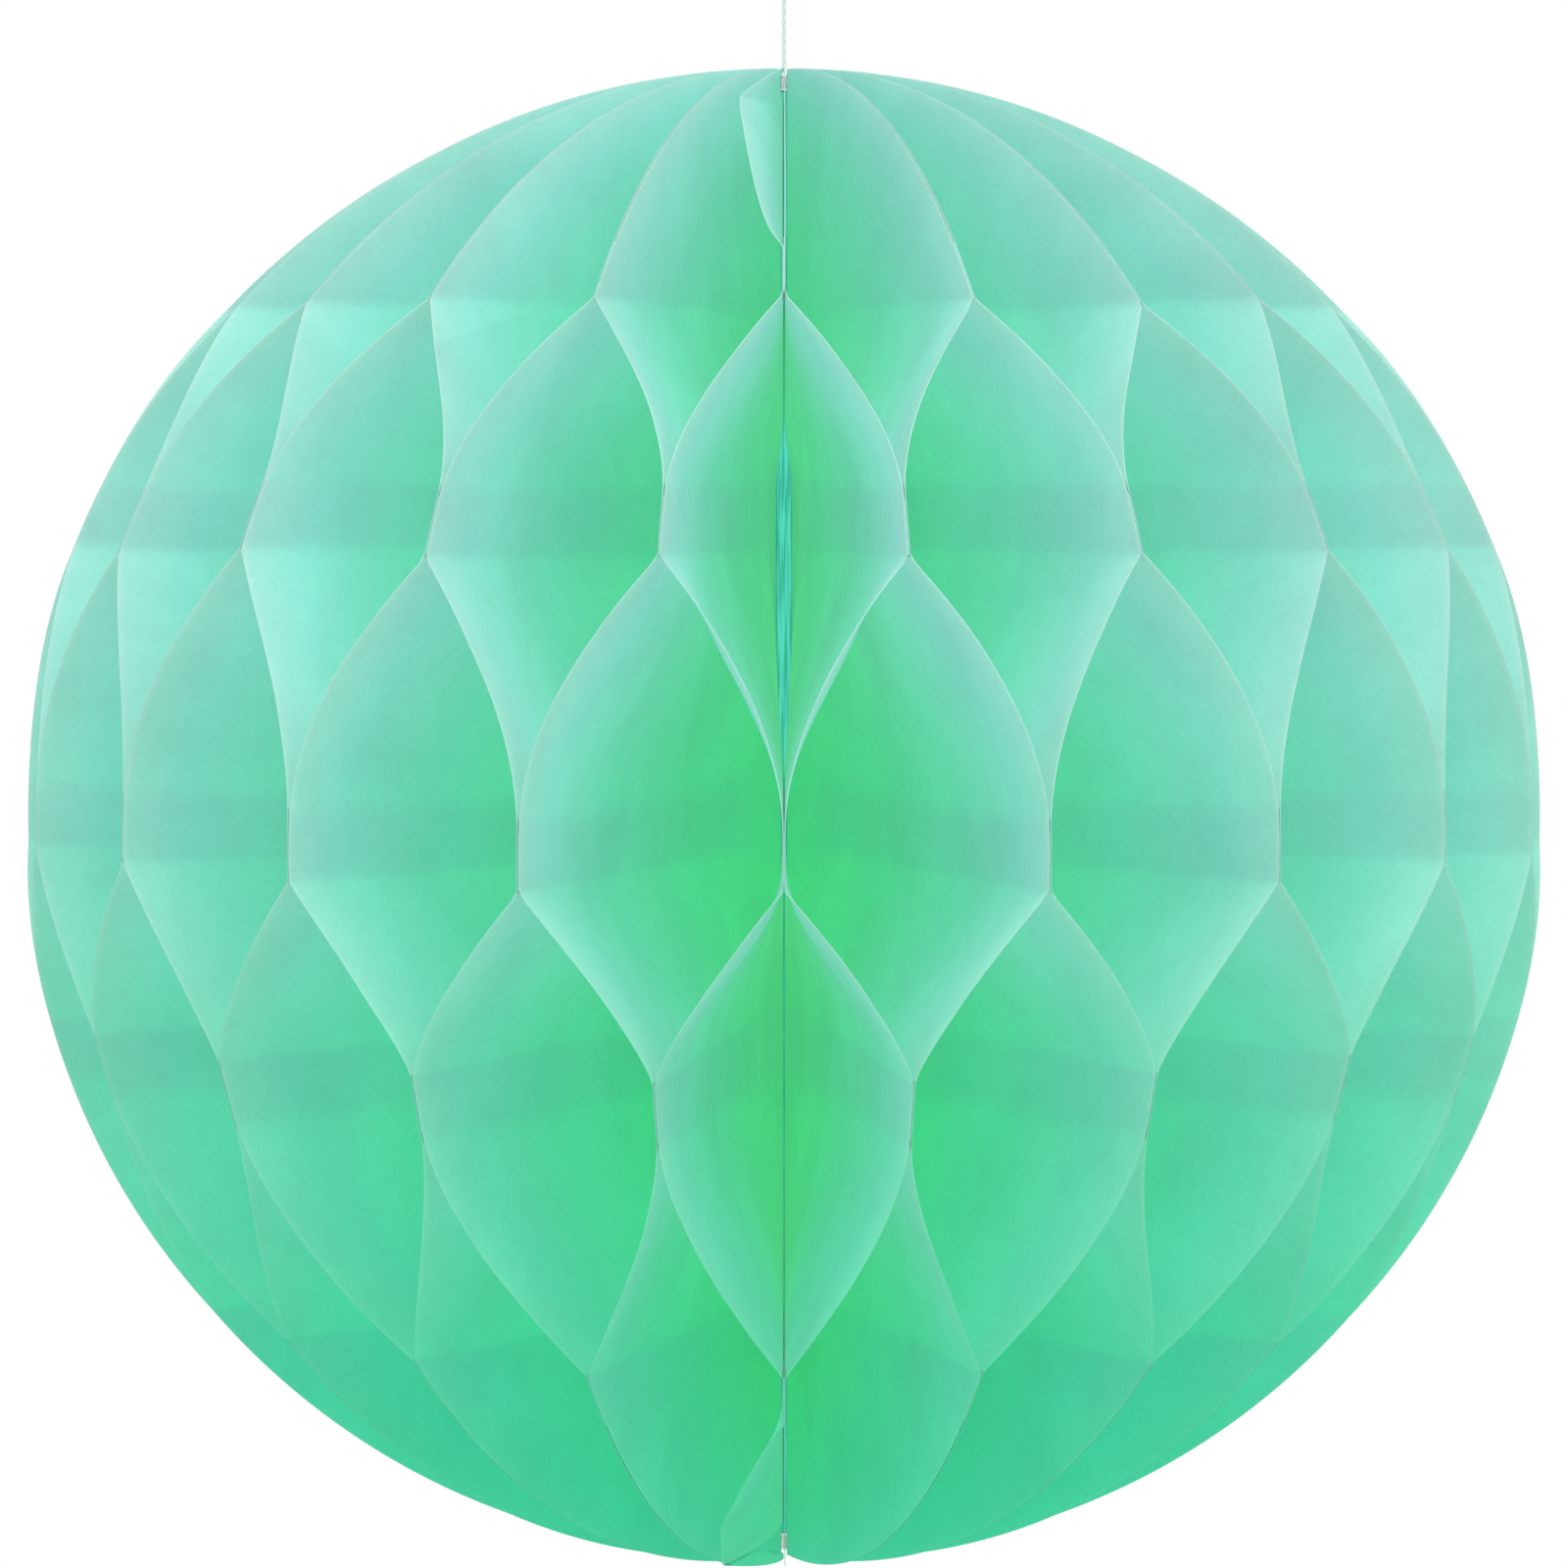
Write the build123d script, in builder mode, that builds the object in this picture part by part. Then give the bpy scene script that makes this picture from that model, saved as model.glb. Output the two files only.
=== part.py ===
from build123d import *

import os
from math import asin, atan2, cos, hypot, radians, sin

# Paper honeycomb ball on a thread.
#
# Forty half-disc tissue leaves stand on edge round an upright spine. Each leaf is glued to the
# next along short level lines, which lie at three heights on the even joints (A rows) and at two
# heights between them on the odd joints (B rows). Opened to a full turn, the leaves pull each other
# into a zigzag, which makes the cells. Joint 0 is the seam, where the last leaf is taped to the first.
#
# Frame: millimetres, +Z up, origin at the inner top of the hanging loop, with the ball below it.
# The seam faces -Y. The leaves are numbered anticlockwise as seen from above, from the seam.

os.makedirs("parts", exist_ok=True)

# the ball
ball_diameter = 200.0
ball_height = 196.5
leaf_count = 40
seam_azimuth = -90.0

# tissue and glue, in the direction across the leaf
leaf_thickness = 0.10
glue_gap = 0.12
body_clearance = 0.03

# glue lines: their heights above the ball's middle, and their width up the leaf
row_a_low = -66.0
row_a_middle = 1.0
row_a_high = 70.0
row_b_low = -28.5
row_b_high = 39.5
glue_width = 7.0

# spine and the knots at its ends
spine_diameter = 3.0
spine_clearance = 0.2
knot_diameter = 4.0
knot_height = 2.6
knot_flat = 1.6
# each knot is sunk below the ball's pole, in a pocket left by the leaves
knot_sink = 0.4
knot_clearance = 0.3

# hanging thread, from the top knot up to the loop knot, and the loop above it
thread_diameter = 0.5
thread_bore_clearance = 0.1
thread_entry = 1.8
thread_length = 32.0
loop_knot_diameter = 2.2
loop_knot_clearance = 0.1
loop_height = 20.0
loop_bend_radius = 3.5
loop_foot = 0.35

radius = ball_diameter / 2
half_height = ball_height / 2
leaf_step = 360 / leaf_count
leaf_inner = spine_diameter / 2 + spine_clearance
pocket_radius = knot_diameter / 2 + knot_clearance
pocket_depth = knot_sink + knot_height + knot_clearance

# heights in the part's own frame, from the loop downwards
loop_knot_z = -loop_height - loop_knot_diameter / 2
thread_top_z = loop_knot_z - loop_knot_diameter / 2 - loop_knot_clearance
top_knot_z = thread_top_z - thread_length + thread_entry
spine_top_z = top_knot_z - knot_height
ball_z = top_knot_z + knot_sink - half_height
bottom_knot_z = ball_z - half_height + knot_sink
spine_bottom_z = bottom_knot_z + knot_height

rows_a = (row_a_low, row_a_middle, row_a_high)
rows_b = (row_b_low, row_b_high)

def finish(piece, name):
    """Label a finished piece and write it to its own file."""
    piece.label = name
    export_step(piece, f"parts/{name}.step")

def slab(plane, angle, near, far, low, high):
    """A thin rectangle on a level plane, along a ray at angle, from low to high across that ray."""
    ray = Vector(cos(radians(angle)), sin(radians(angle)))
    across = Vector(-sin(radians(angle)), cos(radians(angle)))
    with BuildSketch(plane) as section:
        with BuildLine():
            Polyline(
                ray * near + across * low,
                ray * far + across * low,
                ray * far + across * high,
                ray * near + across * high,
                close=True,
            )
        make_face()
    return section.sketch

def half_disc():
    """The leaf's outline, the +X half of the ball's profile less the knots' pockets, behind the ball."""
    with BuildSketch(Plane.XZ.offset(-radius)) as outline:
        with Locations((0, ball_z)):
            Ellipse(radius, half_height)
        with Locations((leaf_inner + radius, ball_z)):
            Rectangle(2 * radius, 2 * ball_height, mode=Mode.INTERSECT)
        with Locations((0, ball_z + half_height), (0, ball_z - half_height)):
            Rectangle(2 * pocket_radius, 2 * pocket_depth, mode=Mode.SUBTRACT)
    return outline.sketch

def leaf_sheet(a_side):
    """One leaf about the +X axis. It leans to a_side (+1 or -1) at the A rows and away from it at the B rows."""
    half_step = leaf_step / 2
    stops = [(-ball_height, a_side), (row_a_low + glue_width / 2, a_side)]
    for height, side in ((row_b_low, -a_side), (row_a_middle, a_side), (row_b_high, -a_side)):
        stops += [(height - glue_width / 2, side), (height + glue_width / 2, side)]
    stops += [(row_a_high - glue_width / 2, a_side), (ball_height, a_side)]
    sections = []
    with BuildPart() as leaf:
        for height, side in stops:
            # the leaf lies inside the joint's plane by half the glue
            middle = -side * (glue_gap + leaf_thickness) / 2
            low, high = middle - leaf_thickness / 2, middle + leaf_thickness / 2
            level = Plane.XY.offset(ball_z + height)
            sections.append(slab(level, side * half_step, leaf_inner, 1.1 * radius, low, high))
        loft(sections, ruled=True)
        extrude(half_disc(), amount=ball_diameter, mode=Mode.INTERSECT)
    return leaf.part

def glue_lines(heights, angle, low, high):
    """Short slabs of glue at the given heights, on the ray at angle, cut to the ball's outline."""
    with BuildPart() as glue:
        for height in heights:
            level = Plane.XY.offset(ball_z + height - glue_width / 2)
            line = slab(level, angle, leaf_inner, 1.1 * radius, low, high)
            extrude(line, amount=glue_width)
        extrude(half_disc(), amount=ball_diameter, mode=Mode.INTERSECT)
    return glue.part

def knot(low_z, bore):
    """A small round knot with flat faces top and bottom, bored from above for the thread."""
    with BuildPart() as made:
        with BuildSketch(Plane.XZ):
            with BuildLine():
                base = Line((0, low_z), (knot_flat / 2, low_z))
                side = ThreePointArc(
                    base @ 1,
                    (knot_diameter / 2, low_z + knot_height / 2),
                    (knot_flat / 2, low_z + knot_height),
                )
                Polyline(side @ 1, (0, low_z + knot_height), (0, low_z))
            make_face()
        revolve(axis=Axis.Z)
        if bore:
            with Locations((0, 0, low_z + knot_height)):
                Hole(thread_diameter / 2 + thread_bore_clearance, thread_entry + thread_bore_clearance)
    return made

# ---- tissue leaves, each with the glue that joins it to the leaf before it

sheets = {side: leaf_sheet(side) for side in (-1, 1)}
near_ray = -leaf_step / 2
glue_faces = (-glue_gap / 2 + body_clearance, glue_gap / 2)
glue_a = glue_lines(rows_a, near_ray, *glue_faces)
glue_b = glue_lines(rows_b, near_ray, *glue_faces)

for number in range(1, leaf_count + 1):
    azimuth = seam_azimuth + (number - 0.5) * leaf_step
    # an odd leaf has its A rows on its side nearer the seam
    odd = number % 2 == 1
    glue = [] if number == 1 else (glue_a if odd else glue_b).solids()
    sheet = sheets[-1 if odd else 1].solids()
    leaf = Compound(sheet + glue).rotate(Axis.Z, azimuth)
    finish(leaf, f"leaf_{number:02d}")

# ---- spine, with a knot at each end

with BuildPart() as spine:
    with BuildSketch(Plane.XY.offset(spine_bottom_z)):
        Circle(spine_diameter / 2)
    extrude(amount=spine_top_z - spine_bottom_z)
finish(spine.part, "spine")

finish(knot(spine_top_z, bore=True).part, "top_knot")
finish(knot(bottom_knot_z, bore=False).part, "bottom_knot")

# ---- seam tape: one strip at each A row, between the last leaf and the first

tape_faces = (-glue_gap / 2 + body_clearance, glue_gap / 2 - body_clearance)
tape = glue_lines(rows_a, 0, *tape_faces)
finish(Compound(tape.solids()).rotate(Axis.Z, seam_azimuth), "seam_tape")

# ---- hanging thread, loop knot and loop

with BuildPart() as thread:
    with BuildSketch(Plane.XY.offset(thread_top_z - thread_length)):
        Circle(thread_diameter / 2)
    extrude(amount=thread_length)
finish(thread.part, "hanging_thread")

with BuildPart() as loop_knot:
    with Locations((0, 0, loop_knot_z)):
        Sphere(loop_knot_diameter / 2)
finish(loop_knot.part, "loop_knot")

# two straight legs, tangent to the bend that hangs on the hook
foot_z = -loop_height + loop_knot_clearance
bend_z = thread_diameter / 2 - loop_bend_radius
rise = bend_z - foot_z
tangent = atan2(loop_foot, rise) - asin(loop_bend_radius / hypot(loop_foot, rise))
shoulder_x = loop_bend_radius * cos(tangent)
shoulder_z = bend_z + loop_bend_radius * sin(tangent)
with BuildPart() as loop:
    with BuildLine(Plane.XZ) as run:
        leg = Line((loop_foot, foot_z), (shoulder_x, shoulder_z))
        bend = ThreePointArc(leg @ 1, (0, thread_diameter / 2), (-shoulder_x, shoulder_z))
        Line(bend @ 1, (-loop_foot, foot_z))
    with BuildSketch(Plane(origin=run.line @ 0, z_dir=run.line % 0)):
        Circle(thread_diameter / 2)
    sweep(path=run.line)
finish(loop.part, "hanging_loop")
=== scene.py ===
import random
from math import atan, cos, pi, radians, sin

import bpy
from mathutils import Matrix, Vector


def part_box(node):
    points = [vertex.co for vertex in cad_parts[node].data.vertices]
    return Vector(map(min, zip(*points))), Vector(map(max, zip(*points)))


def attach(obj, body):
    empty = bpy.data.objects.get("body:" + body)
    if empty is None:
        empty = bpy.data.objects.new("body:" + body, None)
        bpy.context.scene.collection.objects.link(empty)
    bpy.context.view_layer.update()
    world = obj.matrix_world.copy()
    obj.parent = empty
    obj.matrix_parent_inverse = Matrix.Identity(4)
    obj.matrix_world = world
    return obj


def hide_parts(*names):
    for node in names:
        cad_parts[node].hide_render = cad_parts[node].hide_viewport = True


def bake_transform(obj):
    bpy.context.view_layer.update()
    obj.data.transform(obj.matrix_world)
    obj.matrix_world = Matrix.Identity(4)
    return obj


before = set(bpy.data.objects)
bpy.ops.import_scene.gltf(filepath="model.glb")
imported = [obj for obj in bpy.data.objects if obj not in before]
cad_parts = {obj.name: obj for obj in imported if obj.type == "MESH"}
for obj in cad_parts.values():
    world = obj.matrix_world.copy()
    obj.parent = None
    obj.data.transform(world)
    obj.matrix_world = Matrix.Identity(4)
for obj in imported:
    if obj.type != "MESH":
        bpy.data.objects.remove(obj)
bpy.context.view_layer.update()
scene = bpy.context.scene
scene.view_settings.view_transform = "Standard"
# light between the leaves: bounces after the first are taken as even ambient light
scene.cycles.diffuse_bounces = 5
scene.cycles.transmission_bounces = 5
scene.cycles.use_fast_gi = True
scene.cycles.fast_gi_method = "REPLACE"
scene.cycles.ao_bounces_render = 1


# ---- the ball's middle
# The paper ball hangs on its thread below the loop that goes on a hook. Its middle is halfway
# up the spine, and its seam, where the last leaf is taped to the first, faces the viewer.

spine_low, spine_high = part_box("spine")
ball_z = (spine_low.z + spine_high.z) / 2
ball_radius = 0.100
ball_half_height = 0.09825


# ---- camera
# It stands in front of the seam and a little above the ball's middle, with a long lens.

camera_distance = 0.774
camera_rise = radians(3.59)
camera_half_view = 800 / 5969  # half the width seen, as a share of the distance
camera_shift = 33.6 / 1600
camera_data = bpy.data.cameras.new("camera")
camera = bpy.data.objects.new("camera", camera_data)
scene.collection.objects.link(camera)
camera.location = (
    0,
    -camera_distance * cos(camera_rise),
    ball_z + camera_distance * sin(camera_rise),
)
camera.rotation_euler = (pi / 2 - camera_rise, 0, 0)
camera_data.angle = 2 * atan(camera_half_view)
camera_data.shift_y = camera_shift
camera_data.clip_start, camera_data.clip_end = 0.05, 30
scene.camera = camera


# ---- hanging thread and loop
# Light grey twisted sewing thread, half a millimetre thick. It comes up out of the knot on the
# spine, runs straight to a small round knot, and above that makes the loop for the hook.

thread_diameter = 0.0005
thread_straight = 0.003  # straight run at each end of the thread
loop_knot_size = 0.0022
knot_turns = 3
turn_height = 0.05  # how far a knot's turns stand out, as a share of its radius


def colour_ramp(nodes, stops):
    """A ramp through (place, colour) stops."""
    ramp = nodes.new("ShaderNodeValToRGB")
    ends = ramp.color_ramp.elements
    ends[0].position, ends[0].color = stops[0][0], (*stops[0][1], 1)
    ends[1].position, ends[1].color = stops[-1][0], (*stops[-1][1], 1)
    for place, colour in stops[1:-1]:
        ends.new(place).color = (*colour, 1)
    return ramp


def new_material(name, roughness):
    """An empty material with its Principled shader, its nodes and its links."""
    made = bpy.data.materials.new(name)
    made.use_nodes = True
    nodes, links = made.node_tree.nodes, made.node_tree.links
    shader = nodes["Principled BSDF"]
    shader.inputs["Roughness"].default_value = roughness
    return made, shader, nodes, links


def twisted_thread(name, pale, shade):
    """Two-ply thread: light plies with painted shade, darker lines, in the grooves between them,
    and loose fibre on top.
    """
    made, shader, nodes, links = new_material(name, 0.75)
    place = nodes.new("ShaderNodeTexCoord")
    turn = nodes.new("ShaderNodeMapping")
    turn.inputs["Rotation"].default_value = (radians(52), 0, radians(20))
    plies = nodes.new("ShaderNodeTexWave")
    plies.inputs["Scale"].default_value = 900
    plies.inputs["Distortion"].default_value = 1.5
    fibre = nodes.new("ShaderNodeTexNoise")
    fibre.inputs["Scale"].default_value = 6000
    fibre.inputs["Detail"].default_value = 3
    # painted shade: the darker colour where the plies' wave is low, in the grooves between them
    ramp = colour_ramp(nodes, ((0.1, shade), (0.6, pale)))
    mix = nodes.new("ShaderNodeMix")
    mix.data_type = "RGBA"
    mix.blend_type = "OVERLAY"
    mix.inputs["Factor"].default_value = 0.25
    bump = nodes.new("ShaderNodeBump")
    bump.inputs["Strength"].default_value = 0.6
    bump.inputs["Distance"].default_value = 0.00005
    links.new(place.outputs["Object"], turn.inputs["Vector"])
    links.new(turn.outputs["Vector"], plies.inputs["Vector"])
    links.new(place.outputs["Object"], fibre.inputs["Vector"])
    links.new(plies.outputs["Fac"], ramp.inputs["Fac"])
    links.new(ramp.outputs["Color"], mix.inputs["A"])
    links.new(fibre.outputs["Fac"], mix.inputs["B"])
    links.new(mix.outputs["Result"], shader.inputs["Base Color"])
    links.new(plies.outputs["Fac"], bump.inputs["Height"])
    links.new(bump.outputs["Normal"], shader.inputs["Normal"])
    return made


def cord_curve(name, points, thickness):
    """One smooth NURBS spline through its control points, as thick as the thread."""
    data = bpy.data.curves.new(name, "CURVE")
    data.dimensions = "3D"
    data.bevel_depth = thickness / 2
    data.bevel_resolution = 4
    data.resolution_u = 24
    data.use_fill_caps = True
    line = data.splines.new("NURBS")
    line.points.add(len(points) - 1)
    for point, place in zip(line.points, points):
        point.co = (*place, 1)
    line.order_u = 3
    line.use_endpoint_u = True
    made = bpy.data.objects.new(name, data)
    scene.collection.objects.link(made)
    return made


def ball_knot(name, middle, diameter, height, turns):
    """A small overhand knot: a rounded lump with the thread's turns raised round it."""
    knot_mesh = bpy.data.meshes.new(name)
    rings, sides = 20, 28
    points = [(0, 0, -height / 2)]
    for ring in range(1, rings):
        slope = pi * ring / rings
        for side in range(sides):
            spin = 2 * pi * side / sides
            lump = 1 + turn_height * sin(turns * spin + 6 * slope) * sin(slope)
            out = diameter / 2 * sin(slope) ** 0.8 * lump / (1 + turn_height)
            points.append((out * cos(spin), out * sin(spin), -height / 2 * cos(slope)))
    points.append((0, 0, height / 2))
    faces = [(0, 1 + (side + 1) % sides, 1 + side) for side in range(sides)]
    for ring in range(rings - 2):
        low = 1 + ring * sides
        for side in range(sides):
            beside = (side + 1) % sides
            faces.append((low + side, low + beside, low + sides + beside, low + sides + side))
    last, top = 1 + (rings - 2) * sides, len(points) - 1
    faces += [(last + side, last + (side + 1) % sides, top) for side in range(sides)]
    knot_mesh.from_pydata([Vector(middle) + Vector(point) for point in points], [], faces)
    knot_mesh.shade_smooth()
    made = bpy.data.objects.new(name, knot_mesh)
    scene.collection.objects.link(made)
    return made


grey_thread = twisted_thread("light_grey_thread", (0.84, 0.82, 0.82), (0.66, 0.64, 0.65))
knot_low, knot_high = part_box("loop_knot")
loop_knot_z = (knot_low.z + knot_high.z) / 2
thread_low, thread_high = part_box("hanging_thread")
thread_run = [
    (0, 0, thread_low.z),
    (0, 0, thread_low.z + thread_straight),
    (0, 0, thread_high.z - thread_straight),
    (0, 0, thread_high.z),
]
hanging_thread = cord_curve("thread", thread_run, thread_diameter)
hanging_thread.data.materials.append(grey_thread)
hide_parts("hanging_thread")
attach(hanging_thread, "thread")

thread_knot = ball_knot(
    "thread_knot", (0, 0, loop_knot_z), loop_knot_size, loop_knot_size, knot_turns
)
thread_knot.data.materials.append(grey_thread)
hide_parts("loop_knot")
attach(thread_knot, "loop_knot")

loop_run = [
    (-0.00035, 0, -0.0199),
    (-0.00360, 0, -0.0050),
    (-0.00390, 0, 0.00025),
    (0.00390, 0, 0.00025),
    (0.00360, 0, -0.0050),
    (0.00035, 0, -0.0199),
]
thread_loop = cord_curve("thread_loop", loop_run, thread_diameter)
thread_loop.data.materials.append(grey_thread)
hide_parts("hanging_loop")
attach(thread_loop, "loop")


# ---- spine
# The straight edges of all the leaves, stitched and glued into one slim bound rod of tissue,
# with the thread through it and a knot of the same thread at each end.


def tissue_fibre():
    """Shared by the papers: a cloudy sheet with short fibres. It puts out a tone and a height."""
    group = bpy.data.node_groups.new("tissue_fibre", "ShaderNodeTree")
    group.interface.new_socket("Cloud Scale", in_out="INPUT", socket_type="NodeSocketFloat")
    group.interface.new_socket("Fibre Scale", in_out="INPUT", socket_type="NodeSocketFloat")
    group.interface.new_socket("Tone", in_out="OUTPUT", socket_type="NodeSocketFloat")
    group.interface.new_socket("Height", in_out="OUTPUT", socket_type="NodeSocketFloat")
    nodes, links = group.nodes, group.links
    given, gives = nodes.new("NodeGroupInput"), nodes.new("NodeGroupOutput")
    place = nodes.new("ShaderNodeTexCoord")
    cloud = nodes.new("ShaderNodeTexNoise")
    cloud.inputs["Detail"].default_value = 4
    cloud.inputs["Roughness"].default_value = 0.65
    fibre = nodes.new("ShaderNodeTexNoise")
    fibre.inputs["Detail"].default_value = 3
    fibre.inputs["Distortion"].default_value = 1.2
    both = nodes.new("ShaderNodeMath")
    both.operation = "MULTIPLY_ADD"
    both.inputs[1].default_value = 0.45
    for source, target in (
        (given.outputs["Cloud Scale"], cloud.inputs["Scale"]),
        (given.outputs["Fibre Scale"], fibre.inputs["Scale"]),
        (place.outputs["Object"], cloud.inputs["Vector"]),
        (place.outputs["Object"], fibre.inputs["Vector"]),
        (fibre.outputs["Fac"], both.inputs[0]),
        (cloud.outputs["Fac"], both.inputs[2]),
        (both.outputs["Value"], gives.inputs["Tone"]),
        (fibre.outputs["Fac"], gives.inputs["Height"]),
    ):
        links.new(source, target)
    return group


fibre_group = tissue_fibre()


def spine_paper():
    """Bound leaf edges: turquoise tissue with upright ridges and painted shade, a darker green,
    in the hollows between them.
    """
    made, shader, nodes, links = new_material("bound_tissue", 0.8)
    place = nodes.new("ShaderNodeTexCoord")
    stretch = nodes.new("ShaderNodeMapping")
    stretch.inputs["Scale"].default_value = (1, 1, 0.03)
    ridges = nodes.new("ShaderNodeTexNoise")
    ridges.inputs["Scale"].default_value = 3500
    ridges.inputs["Detail"].default_value = 2
    # painted shade: darker green where the ridges are low, for shade in the hollows between them
    ramp = colour_ramp(nodes, ((0.35, (0.03, 0.50, 0.36)), (0.62, (0.13, 0.80, 0.66))))
    bump = nodes.new("ShaderNodeBump")
    bump.inputs["Strength"].default_value = 0.7
    bump.inputs["Distance"].default_value = 0.0002
    links.new(place.outputs["Object"], stretch.inputs["Vector"])
    links.new(stretch.outputs["Vector"], ridges.inputs["Vector"])
    links.new(ridges.outputs["Fac"], ramp.inputs["Fac"])
    links.new(ramp.outputs["Color"], shader.inputs["Base Color"])
    links.new(ridges.outputs["Fac"], bump.inputs["Height"])
    links.new(bump.outputs["Normal"], shader.inputs["Normal"])
    return made


bound_tissue = spine_paper()
spine_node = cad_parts["spine"]
spine_node.data.materials.clear()
spine_node.data.materials.append(bound_tissue)

for knot_node, visible_name in (("top_knot", "knot_above"), ("bottom_knot", "knot_below")):
    low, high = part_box(knot_node)
    tied = ball_knot(
        visible_name, (low + high) / 2, high.x - low.x, high.z - low.z, knot_turns
    )
    tied.data.materials.append(grey_thread)
    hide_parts(knot_node)
    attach(tied, "spine")


# ---- tissue leaves
# Forty half discs of mint tissue, die-cut as one stack and glued leaf to leaf along short level
# lines, at three heights on every second joint and two heights between them on the others.
# Opened right round, the glued lines pull the leaves into the cells.

leaf_count = 40
leaf_step = 2 * pi / leaf_count
seam_azimuth = -pi / 2
paper_thickness = 0.0001
glue_gap = 0.00012
glue_width = 0.007
leaf_inner = 0.0017
rows_a = (-0.066, 0.001, 0.070)
rows_b = (-0.0285, 0.0395)
leaf_rows, leaf_columns = 241, 25
row_wander = 0.0006  # how far a glue line strays up or down from its row
paper_wave = 0.0012
seed_step = 7.3
top_curl, bottom_curl = -0.0054, -0.0078
crease_angle = radians(50)


class Rule:
    """Puts a geometry node tree together from sums on fields."""

    def __init__(self, name):
        self.tree = bpy.data.node_groups.new(name, "GeometryNodeTree")
        self.nodes, self.links = self.tree.nodes, self.tree.links
        self.given = self.nodes.new("NodeGroupInput")
        self.gives = self.nodes.new("NodeGroupOutput")
        self.tree.interface.new_socket(
            "Geometry", in_out="OUTPUT", socket_type="NodeSocketGeometry"
        )

    def size(self, name, kind="NodeSocketFloat"):
        """A named input of the tree."""
        self.tree.interface.new_socket(name, in_out="INPUT", socket_type=kind)
        return self.given.outputs[name]

    def node(self, kind, **values):
        made = self.nodes.new(kind)
        for name, value in values.items():
            setattr(made, name, value)
        return made

    def put(self, value, socket):
        if isinstance(value, bpy.types.NodeSocket):
            self.links.new(value, socket)
        else:
            socket.default_value = value

    def math(self, operation, first, second=0.0, third=0.0, clamp=False):
        made = self.node("ShaderNodeMath", operation=operation, use_clamp=clamp)
        for value, socket in zip((first, second, third), made.inputs):
            self.put(value, socket)
        return made.outputs[0]

    def share(self, value, start, end):
        """How far value is from start to end, held between 0 and 1."""
        made = self.node("ShaderNodeMapRange", clamp=True)
        for given, name in ((value, "Value"), (start, "From Min"), (end, "From Max")):
            self.put(given, made.inputs[name])
        return made.outputs["Result"]

    def vector(self, x, y, z):
        made = self.node("ShaderNodeCombineXYZ")
        for value, socket in zip((x, y, z), made.inputs):
            self.put(value, socket)
        return made.outputs[0]

    def grid(self, columns, rows):
        made = self.node("GeometryNodeMeshGrid")
        for value, name in (
            (1.0, "Size X"),
            (1.0, "Size Y"),
            (columns, "Vertices X"),
            (rows, "Vertices Y"),
        ):
            self.put(value, made.inputs[name])
        return made.outputs["Mesh"]

    def placed(self, mesh, position):
        made = self.node("GeometryNodeSetPosition")
        self.put(mesh, made.inputs["Geometry"])
        self.put(position, made.inputs["Position"])
        return made.outputs["Geometry"]

    def stored(self, mesh, name, value):
        made = self.node("GeometryNodeStoreNamedAttribute", data_type="FLOAT", domain="POINT")
        made.inputs["Name"].default_value = name
        self.put(mesh, made.inputs["Geometry"])
        self.put(value, made.inputs["Value"])
        return made.outputs["Geometry"]

    def covered(self, mesh, material):
        made = self.node("GeometryNodeSetMaterial")
        made.inputs["Material"].default_value = material
        self.put(mesh, made.inputs["Geometry"])
        return made.outputs["Geometry"]


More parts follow.
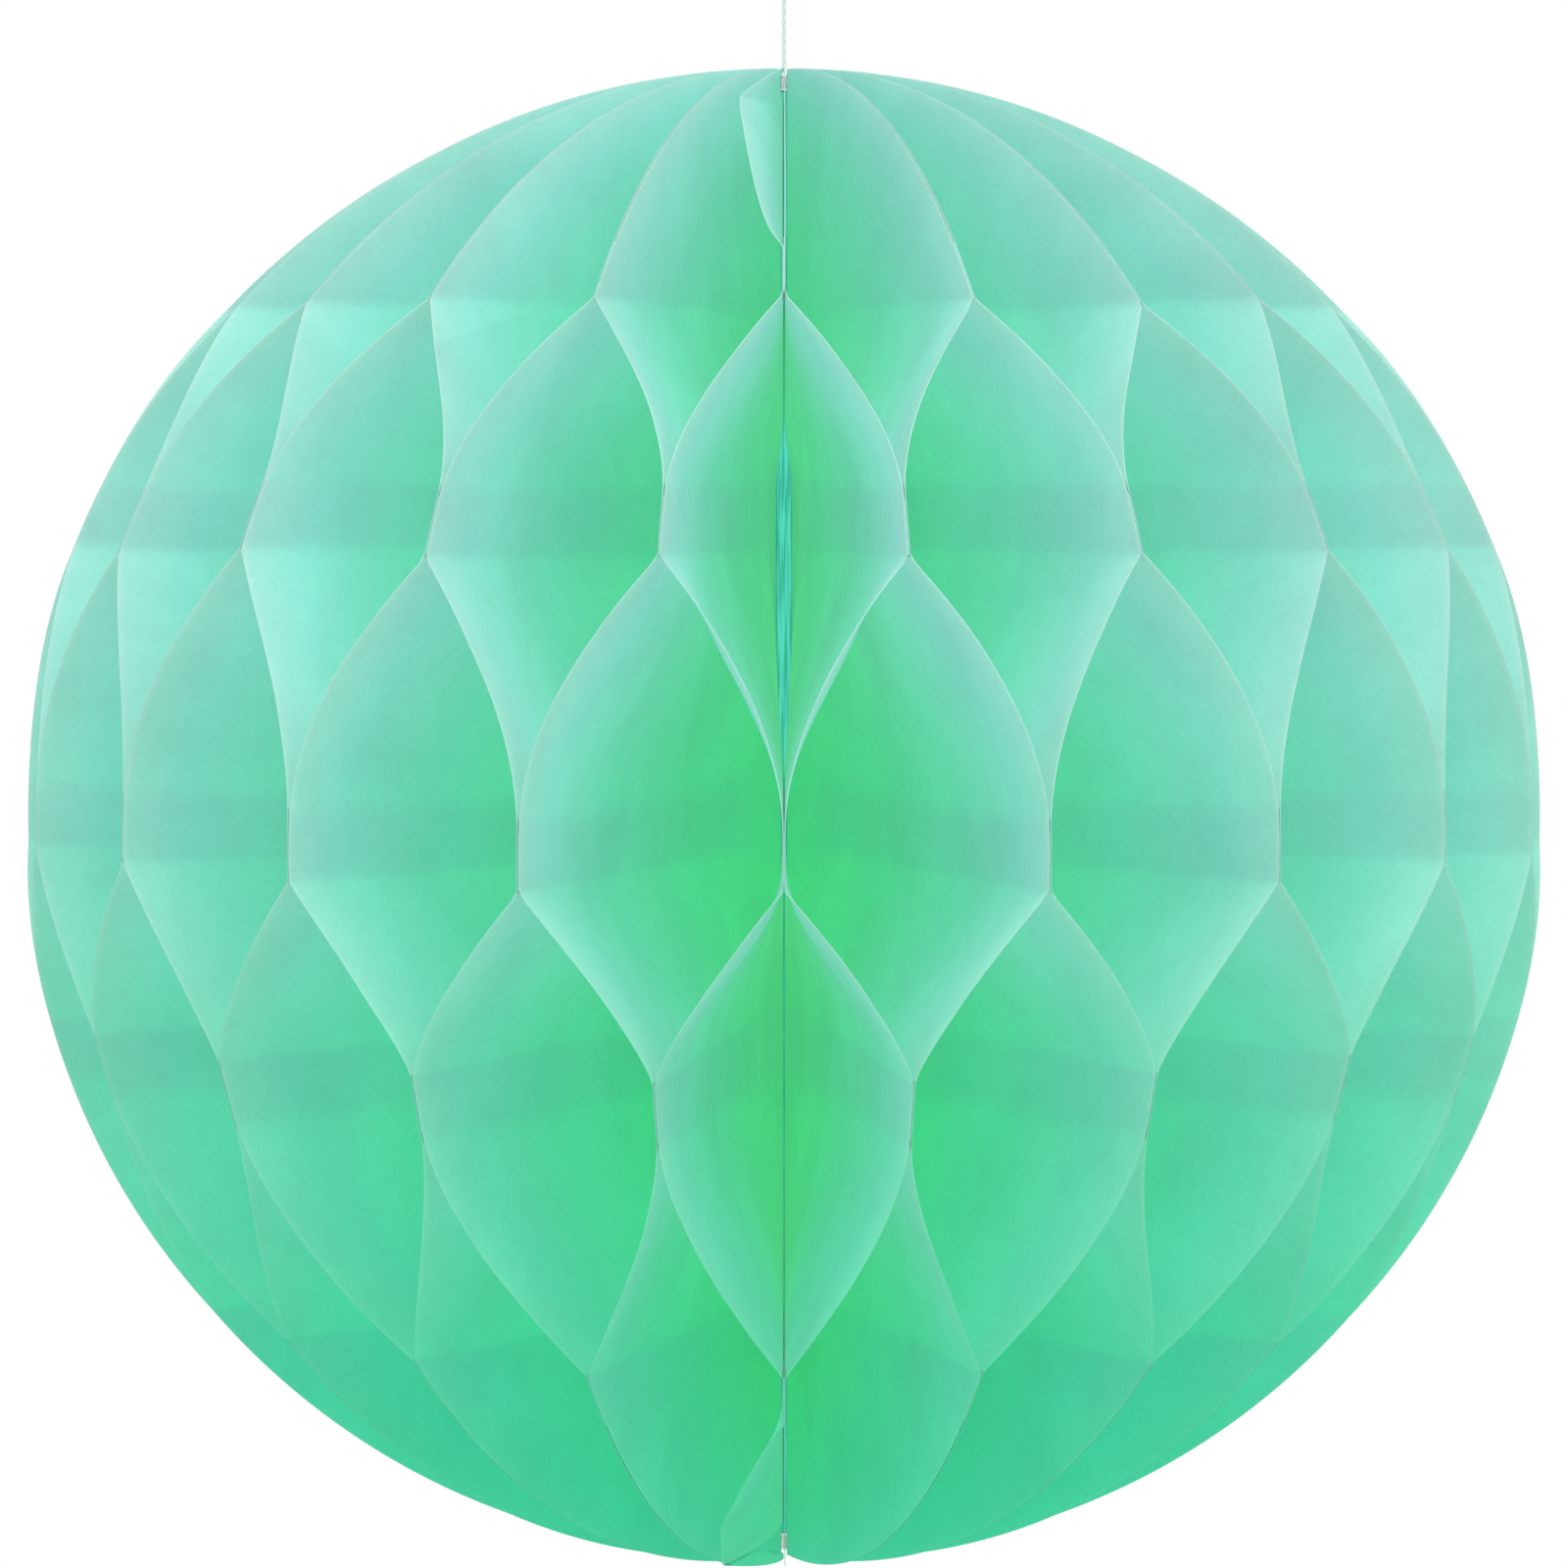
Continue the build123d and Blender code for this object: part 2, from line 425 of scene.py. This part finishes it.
def tissue_paper():
    """Dyed tissue. Its pale cut rim is partly the cut fibre and partly painted light caught at
    the edge.
    The greener tint further in and lower down is painted on. It stands for light that has come
    through several leaves, which isn't traced here."""
    made, shader, nodes, links = new_material("mint_tissue", 0.9)
    shader.inputs["Specular IOR Level"].default_value = 0.15
    shader.inputs["Sheen Weight"].default_value = 0.15
    fibre = nodes.new("ShaderNodeGroup")
    fibre.node_tree = fibre_group
    fibre.inputs["Cloud Scale"].default_value = 55
    fibre.inputs["Fibre Scale"].default_value = 1400
    depth = nodes.new("ShaderNodeAttribute")
    depth.attribute_name = "depth"
    glue = nodes.new("ShaderNodeAttribute")
    glue.attribute_name = "glue_mark"
    # painted light by depth from the rim: pale at the cut rim, where the edge catches light,
    # greener further in, for light come through several leaves
    ramp = colour_ramp(
        nodes,
        (
            (0.0, (0.72, 0.95, 0.95)),
            (0.008, (0.56, 0.94, 0.91)),
            (0.10, (0.41, 0.94, 0.88)),
            (0.30, (0.25, 0.94, 0.70)),
            (0.60, (0.13, 0.94, 0.47)),
            (1.0, (0.07, 0.93, 0.34)),
        ),
    )
    tone = nodes.new("ShaderNodeMapRange")
    tone.inputs["From Min"].default_value = 0.45
    tone.inputs["From Max"].default_value = 1.0
    tone.inputs["To Min"].default_value = 0.90
    tone.inputs["To Max"].default_value = 1.05
    marked = nodes.new("ShaderNodeMath")
    marked.operation = "MULTIPLY_ADD"
    marked.inputs[1].default_value = -0.01
    dye_grain_and_painted_light = nodes.new("ShaderNodeMix")
    dye_grain_and_painted_light.data_type = "RGBA"
    dye_grain_and_painted_light.blend_type = "MULTIPLY"
    dye_grain_and_painted_light.inputs["Factor"].default_value = 1.0
    place = nodes.new("ShaderNodeTexCoord")
    upright = nodes.new("ShaderNodeSeparateXYZ")
    # painted light by height: greener lower down, for light from above that reaches the bottom
    # only through the leaves
    lowness = nodes.new("ShaderNodeMapRange")
    lowness.interpolation_type = "SMOOTHSTEP"
    lowness.inputs["From Min"].default_value = ball_z + 0.35 * ball_radius
    lowness.inputs["From Max"].default_value = ball_z - 0.95 * ball_radius
    greener = nodes.new("ShaderNodeMix")
    greener.data_type = "RGBA"
    greener.blend_type = "MULTIPLY"
    greener.inputs["B"].default_value = (0.20, 0.97, 0.62, 1)
    through = nodes.new("ShaderNodeBsdfTranslucent")
    through_colour = nodes.new("ShaderNodeMix")
    through_colour.data_type = "RGBA"
    through_colour.blend_type = "MULTIPLY"
    through_colour.inputs["Factor"].default_value = 1.0
    through_colour.inputs["B"].default_value = (0.50, 1.0, 0.80, 1)
    both = nodes.new("ShaderNodeMixShader")
    both.inputs["Fac"].default_value = 0.30
    bump = nodes.new("ShaderNodeBump")
    bump.inputs["Strength"].default_value = 0.4
    bump.inputs["Distance"].default_value = 0.00008
    for source, target in (
        (depth.outputs["Fac"], ramp.inputs["Fac"]),
        (fibre.outputs["Tone"], tone.inputs["Value"]),
        (glue.outputs["Fac"], marked.inputs[0]),
        (tone.outputs["Result"], marked.inputs[2]),
        (ramp.outputs["Color"], dye_grain_and_painted_light.inputs["A"]),
        (marked.outputs["Value"], dye_grain_and_painted_light.inputs["B"]),
        (place.outputs["Object"], upright.inputs["Vector"]),
        (upright.outputs["Z"], lowness.inputs["Value"]),
        (lowness.outputs["Result"], greener.inputs["Factor"]),
        (dye_grain_and_painted_light.outputs["Result"], greener.inputs["A"]),
        (greener.outputs["Result"], shader.inputs["Base Color"]),
        (greener.outputs["Result"], through_colour.inputs["A"]),
        (through_colour.outputs["Result"], through.inputs["Color"]),
        (fibre.outputs["Height"], bump.inputs["Height"]),
        (bump.outputs["Normal"], shader.inputs["Normal"]),
        (shader.outputs["BSDF"], both.inputs[1]),
        (through.outputs["BSDF"], both.inputs[2]),
        (both.outputs["Shader"], nodes["Material Output"].inputs["Surface"]),
    ):
        links.new(source, target)
    return made


def leaf_rule(material):
    """The tree for one leaf. Azimuth and Lean set its place; it is glued at the row heights."""
    rule = Rule("tissue_leaf")
    names = (
        "Radius", "Half Height", "Inner Radius", "Middle", "Azimuth", "Half Step", "Lean",
        "Glue Width", "Row A High", "Row B High", "Row A Middle", "Row B Low", "Row A Low",
        "Stand Off", "Wave", "Seed", "Top Curl", "Bottom Curl", "Slit",
    )
    size = {name: rule.size(name) for name in names}
    math, share = rule.math, rule.share
    place = rule.node("GeometryNodeInputPosition").outputs[0]
    split = rule.node("ShaderNodeSeparateXYZ")
    rule.put(place, split.inputs[0])
    along = math("ADD", split.outputs["X"], 0.5)
    up = math("SINE", math("MULTIPLY", split.outputs["Y"], pi))
    inner_share = math("DIVIDE", size["Inner Radius"], size["Radius"])
    tallest = math("SQRT", math("SUBTRACT", 1.0, math("MULTIPLY", inner_share, inner_share)))
    height_share = math("MULTIPLY", up, tallest)
    height = math("MULTIPLY", height_share, size["Half Height"])
    narrowing = math("SQRT", math("SUBTRACT", 1.0, math("MULTIPLY", height_share, height_share)))
    outer = math("MULTIPLY", size["Radius"], narrowing)
    inner = size["Inner Radius"]
    reach = math("ADD", inner, math("MULTIPLY", along, math("SUBTRACT", outer, inner)))

    # the slit in the seam's upper cell, where the leaves beside it bend aside near the spine
    slit_opens = math("POWER", share(height, 0.006, 0.030), 0.7)
    slit_closes = share(height, 0.052, 0.042)
    slit_depth = share(reach, 0.020, 0.004)
    slit_up = math("MULTIPLY", slit_opens, slit_closes)
    slit = math("MULTIPLY", size["Slit"], math("MULTIPLY", slit_up, slit_depth))

    # inside says how much of the soft bend a place has: none at the rim, most 22 mm further in
    from_rim = math("SUBTRACT", outer, reach)
    inside = math("MULTIPLY", share(from_rim, 0.0, 0.022), 0.85)

    # the lean: 1 at the A rows, -1 at the B rows, with a wall between each two, which bends
    # sharply from its glue line at the rim and softly further in. Each wall has its row above and
    # below, the power of its bend, whether the soft end is above, and the change of lean
    half_glue = math("MULTIPLY", size["Glue Width"], 0.5)
    walls = (
        ("Row A High", "Row B High", 1.9, False, -2.0),
        ("Row B High", "Row A Middle", 1.9, False, 2.0),
        ("Row A Middle", "Row B Low", 1.25, False, -2.0),
        ("Row B Low", "Row A Low", 1.7, True, 2.0),
    )
    lean = 1.0
    for above, below, power, soft_above, change in walls:
        start = math("SUBTRACT", size[above], half_glue)
        end = math("ADD", size[below], half_glue)
        down = share(height, start, end)
        if soft_above:
            bent = math("POWER", down, power)
        else:
            bent = math("SUBTRACT", 1.0, math("POWER", math("SUBTRACT", 1.0, down), power))
        eased = rule.node("ShaderNodeMapRange", interpolation_type="SMOOTHSTEP")
        rule.put(down, eased.inputs["Value"])
        softer = math("MULTIPLY", inside, math("SUBTRACT", eased.outputs["Result"], bent))
        lean = math("MULTIPLY_ADD", math("ADD", bent, softer), change, lean)
    free = math("SUBTRACT", 1.0, math("MULTIPLY", lean, lean), clamp=True)
    glued = math("SUBTRACT", 1.0, share(free, 0.0, 0.02))
    turn = math("SUBTRACT", size["Half Step"], math("DIVIDE", size["Stand Off"], reach))
    leaning = math("MULTIPLY", math("MULTIPLY", lean, size["Lean"]), turn)
    angle = math("ADD", size["Azimuth"], leaning)

    # loose paper between the rows waves a little, most at the rim
    noise = rule.node("ShaderNodeTexNoise", noise_dimensions="3D")
    noise.inputs["Detail"].default_value = 2.0
    waves_out, waves_up = math("MULTIPLY", reach, 28.0), math("MULTIPLY", height, 42.0)
    rule.put(rule.vector(waves_out, waves_up, size["Seed"]), noise.inputs["Vector"])
    noise.inputs["Scale"].default_value = 1.0
    out_share = math("DIVIDE", reach, size["Radius"])
    wave = math("MULTIPLY", math("SUBTRACT", noise.outputs[0], 0.5), size["Wave"])
    wave = math("MULTIPLY", wave, math("MULTIPLY", free, out_share))

    # the free corners of the last leaf curl away from the seam
    rolled = math("POWER", share(from_rim, 0.030, 0.0), 1.6)
    top_rise = math("POWER", share(height, 0.0735, 0.0915), 0.5)
    top_lift = math("MULTIPLY", top_rise, share(height, 0.0980, 0.0930))
    low_rise = math("POWER", share(height, -0.0695, -0.0860), 0.8)
    low_lift = math("MULTIPLY", low_rise, share(height, -0.0981, -0.0955))
    top_part = math("MULTIPLY", top_lift, size["Top Curl"])
    low_part = math("MULTIPLY", low_lift, size["Bottom Curl"])
    curl = math("ADD", top_part, low_part)
    aside = math("ADD", math("ADD", wave, slit), math("MULTIPLY", rolled, curl))

    ray_x, ray_y = math("COSINE", angle), math("SINE", angle)
    x = math("SUBTRACT", math("MULTIPLY", ray_x, reach), math("MULTIPLY", ray_y, aside))
    y = math("ADD", math("MULTIPLY", ray_y, reach), math("MULTIPLY", ray_x, aside))
    sheet = rule.grid(leaf_columns, leaf_rows)
    sheet = rule.stored(sheet, "depth", math("DIVIDE", from_rim, size["Radius"]))
    sheet = rule.stored(sheet, "glue_mark", glued)
    sheet = rule.placed(sheet, rule.vector(x, y, math("ADD", height, size["Middle"])))
    smooth = rule.node("GeometryNodeSetShadeSmooth")
    rule.put(sheet, smooth.inputs["Geometry"])
    whole = rule.node("GeometryNodeRealizeInstances")
    rule.put(smooth.outputs["Geometry"], whole.inputs["Geometry"])
    rule.put(rule.covered(whole.outputs["Geometry"], material), rule.gives.inputs["Geometry"])
    return rule.tree


def made_by(tree, name, sizes, thickness):
    """A plain mesh piece from a tree and its named sizes, with the sheet's thickness put on."""
    holder_mesh = bpy.data.meshes.new(name + "_holder")
    holder = bpy.data.objects.new(name + "_holder", holder_mesh)
    scene.collection.objects.link(holder)
    maker = holder.modifiers.new("rule", "NODES")
    maker.node_group = tree
    for socket in tree.interface.items_tree:
        if socket.in_out == "INPUT" and socket.name in sizes:
            maker[socket.identifier] = sizes[socket.name]
    wall = holder.modifiers.new("wall", "SOLIDIFY")
    wall.thickness, wall.offset = thickness, 0.0
    bpy.context.view_layer.update()
    ready = holder.evaluated_get(bpy.context.evaluated_depsgraph_get())
    mesh = bpy.data.meshes.new_from_object(ready)
    mesh.name = name
    mesh.set_sharp_from_angle(angle=crease_angle)
    bpy.data.objects.remove(holder)
    bpy.data.meshes.remove(holder_mesh)
    made = bpy.data.objects.new(name, mesh)
    scene.collection.objects.link(made)
    return made


mint_tissue = tissue_paper()
leaf_tree = leaf_rule(mint_tissue)
placing = random.Random(11)
slit_bends = {
    1: 0.0012, 2: 0.00095, 3: 0.0006, 4: 0.00025,
    37: -0.00025, 38: -0.0006, 39: -0.00095, 40: -0.0012,
}
joint_heights = [
    [
        row + placing.uniform(-row_wander, row_wander)
        for row in (rows_a if joint % 2 == 0 else rows_b)
    ]
    for joint in range(leaf_count)
]
for number in range(1, leaf_count + 1):
    odd = number % 2 == 1
    joint_a, joint_b = (number - 1, number) if odd else (number, number - 1)
    a_low, a_middle, a_high = joint_heights[joint_a % leaf_count]
    b_low, b_high = joint_heights[joint_b % leaf_count]
    leaf = made_by(
        leaf_tree,
        f"tissue_leaf_{number:02d}",
        {
            "Radius": ball_radius,
            "Half Height": ball_half_height,
            "Inner Radius": leaf_inner,
            "Middle": ball_z,
            "Azimuth": seam_azimuth + (number - 0.5) * leaf_step,
            "Half Step": leaf_step / 2,
            "Lean": -1.0 if odd else 1.0,
            "Glue Width": glue_width,
            "Row A High": a_high,
            "Row B High": b_high,
            "Row A Middle": a_middle,
            "Row B Low": b_low,
            "Row A Low": a_low,
            "Stand Off": (glue_gap + paper_thickness) / 2,
            "Wave": paper_wave,
            "Seed": number * seed_step,
            "Top Curl": top_curl if number == leaf_count else 0.0,
            "Bottom Curl": bottom_curl if number == leaf_count else 0.0,
            "Slit": slit_bends.get(number, 0.0),
        },
        paper_thickness,
    )
    edges = [seam_azimuth + (number - 1 + step) * leaf_step for step in (0, 1)]
    near_edge, far_edge = [
        (ball_radius * cos(edge), ball_radius * sin(edge), ball_z) for edge in edges
    ]
    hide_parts(f"leaf_{number:02d}")
    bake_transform(leaf)
    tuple(near_edge)
    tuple(far_edge)


# ---- glue lines
# Thin lines of dried water-based glue between two leaves. They have soaked into the tissue, so
# from the rim only their edge shows, as pale as the paper.

glue_inner = 0.021  # clear of the slit, where the leaves bend aside
glue_rim_gap = 0.0001
glue_play, tape_play = 0.00003, 0.00006  # room left in the gap between two leaves
glue_columns, glue_rows = 12, 5


def dried_glue():
    """Glue soaked into tissue: the paper's mint, a little duller and smoother."""
    made, shader, nodes, links = new_material("dried_glue", 0.55)
    fibre = nodes.new("ShaderNodeGroup")
    fibre.node_tree = fibre_group
    fibre.inputs["Cloud Scale"].default_value = 160
    fibre.inputs["Fibre Scale"].default_value = 2200
    ramp = colour_ramp(nodes, ((0.45, (0.30, 0.80, 0.66)), (0.95, (0.52, 0.92, 0.82))))
    links.new(fibre.outputs["Tone"], ramp.inputs["Fac"])
    links.new(ramp.outputs["Color"], shader.inputs["Base Color"])
    return made


def glue_rule(material):
    """The tree for one glue line: a level strip on a joint's plane, out to the rim."""
    rule = Rule("glue_line")
    names = ("Radius", "Half Height", "Inner Radius", "Middle", "Azimuth", "Glue Width", "Row")
    size = {name: rule.size(name) for name in names}
    math = rule.math
    split = rule.node("ShaderNodeSeparateXYZ")
    rule.put(rule.node("GeometryNodeInputPosition").outputs[0], split.inputs[0])
    along = math("ADD", split.outputs["X"], 0.5)
    height = math("MULTIPLY_ADD", split.outputs["Y"], size["Glue Width"], size["Row"])
    height_share = math("DIVIDE", height, size["Half Height"])
    narrowing = math("SQRT", math("SUBTRACT", 1.0, math("MULTIPLY", height_share, height_share)))
    outer = math("MULTIPLY", size["Radius"], narrowing)
    inner = size["Inner Radius"]
    reach = math("MULTIPLY_ADD", along, math("SUBTRACT", outer, inner), inner)
    x = math("MULTIPLY", math("COSINE", size["Azimuth"]), reach)
    y = math("MULTIPLY", math("SINE", size["Azimuth"]), reach)
    place = rule.vector(x, y, math("ADD", height, size["Middle"]))
    whole = rule.node("GeometryNodeRealizeInstances")
    rule.put(rule.placed(rule.grid(glue_columns, glue_rows), place), whole.inputs["Geometry"])
    rule.put(rule.covered(whole.outputs["Geometry"], material), rule.gives.inputs["Geometry"])
    return rule.tree


glue_tree = glue_rule(dried_glue())


def joined(pieces, name):
    """Several small meshes of one body made one."""
    with bpy.context.temp_override(active_object=pieces[0], selected_editable_objects=pieces):
        bpy.ops.object.join()
    pieces[0].name = name
    return pieces[0]


def glued_joint(joint, name, thickness, tree=glue_tree):
    """All the glue lines on one joint, as one piece."""
    lines = [
        made_by(
            tree,
            f"{name}_{place}",
            {
                "Radius": ball_radius - glue_rim_gap,
                "Half Height": ball_half_height,
                "Inner Radius": glue_inner,
                "Middle": ball_z,
                "Azimuth": seam_azimuth + joint * leaf_step,
                "Glue Width": glue_width,
                "Row": row,
            },
            thickness,
        )
        for place, row in enumerate(joint_heights[joint % leaf_count])
    ]
    return joined(lines, name)


for joint in range(1, leaf_count):
    glue = glued_joint(joint, f"glue_on_joint_{joint:02d}", glue_gap - glue_play)
    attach(glue, f"leaf_{joint + 1:02d}")


# ---- seam tape
# Three short strips of clear double-sided tape on the last leaf. They stick to the first leaf
# when the ball is opened, and hold it open.


def clear_tape():
    """Clear film with a milky adhesive: smooth, with faint cloudy patches."""
    made, shader, nodes, links = new_material("clear_tape", 0.3)
    fibre = nodes.new("ShaderNodeGroup")
    fibre.node_tree = fibre_group
    fibre.inputs["Cloud Scale"].default_value = 220
    fibre.inputs["Fibre Scale"].default_value = 3000
    ramp = colour_ramp(nodes, ((0.45, (0.62, 0.88, 0.82)), (0.95, (0.85, 0.95, 0.92))))
    links.new(fibre.outputs["Tone"], ramp.inputs["Fac"])
    links.new(ramp.outputs["Color"], shader.inputs["Base Color"])
    return made


tape = glued_joint(0, "tape_strips", glue_gap - tape_play, glue_rule(clear_tape()))
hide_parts("seam_tape")
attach(tape, "closing_edge")


# ---- floor, backdrop and light
# A plain white studio: a pale floor well below the ball, a broad soft light above and in front,
# a fill from each side, the left one cooler, and an even surround, which is white to the lens, as
# the backdrop, and faintly green to the paper.

surround_strength = 0.45  # on the paper; the lens sees 1
surround_tint = (0.72, 1.0, 0.88, 1)
ambient_reach, ambient_factor = 0.0003, 2.05


def studio_white():
    """Matt white that the lens sees as clean white."""
    made, shader, nodes, links = new_material("studio_white", 0.9)
    shader.inputs["Base Color"].default_value = (0.40, 0.42, 0.42, 1)
    path = nodes.new("ShaderNodeLightPath")
    glow = nodes.new("ShaderNodeEmission")
    glow.inputs["Color"].default_value = (1, 1, 1, 1)
    both = nodes.new("ShaderNodeMixShader")
    links.new(path.outputs["Is Camera Ray"], both.inputs["Fac"])
    links.new(shader.outputs["BSDF"], both.inputs[1])
    links.new(glow.outputs["Emission"], both.inputs[2])
    links.new(both.outputs["Shader"], nodes["Material Output"].inputs["Surface"])
    return made


floor_mesh = bpy.data.meshes.new("studio_floor")
floor_half, floor_z = 4.0, ball_z - 0.75
floor_mesh.from_pydata(
    [(-floor_half, -floor_half, floor_z), (floor_half, -floor_half, floor_z),
     (floor_half, floor_half, floor_z), (-floor_half, floor_half, floor_z)],
    [], [(0, 1, 2, 3)],
)
studio_floor = bpy.data.objects.new("studio_floor", floor_mesh)
scene.collection.objects.link(studio_floor)
floor_mesh.materials.append(studio_white())


def soft_light(name, place, size, power, colour):
    """A square area light aimed at the ball's middle."""
    data = bpy.data.lights.new(name, "AREA")
    data.size, data.energy, data.color = size, power, colour
    made = bpy.data.objects.new(name, data)
    made.location = place
    aim = Vector((0, 0, ball_z)) - Vector(place)
    made.rotation_euler = aim.to_track_quat("-Z", "Y").to_euler()
    scene.collection.objects.link(made)
    return made


soft_light("light_above", (0.25, -0.55, 1.25), 1.1, 10, (1.0, 0.96, 1.0))
soft_light("light_right", (1.1, -1.1, 0.35), 0.9, 3.0, (1.0, 0.95, 1.0))
soft_light("light_left", (-1.3, -0.7, 0.05), 1.0, 3.4, (0.60, 0.92, 1.0))

surround = bpy.data.worlds.new("surround")
surround.use_nodes = True
sky, sky_links = surround.node_tree.nodes, surround.node_tree.links
sky_path = sky.new("ShaderNodeLightPath")
sky_strength = sky.new("ShaderNodeMapRange")
sky_strength.inputs["To Min"].default_value = surround_strength
sky_strength.inputs["To Max"].default_value = 1.0
sky_links.new(sky_path.outputs["Is Camera Ray"], sky_strength.inputs["Value"])
sky_links.new(sky_strength.outputs["Result"], sky["Background"].inputs["Strength"])
sky_tint = sky.new("ShaderNodeMix")
sky_tint.data_type = "RGBA"
sky_tint.inputs["A"].default_value = surround_tint
sky_tint.inputs["B"].default_value = (1, 1, 1, 1)
sky_links.new(sky_path.outputs["Is Camera Ray"], sky_tint.inputs["Factor"])
sky_links.new(sky_tint.outputs["Result"], sky["Background"].inputs["Color"])
scene.world = surround
surround.light_settings.distance = ambient_reach
surround.light_settings.ao_factor = ambient_factor
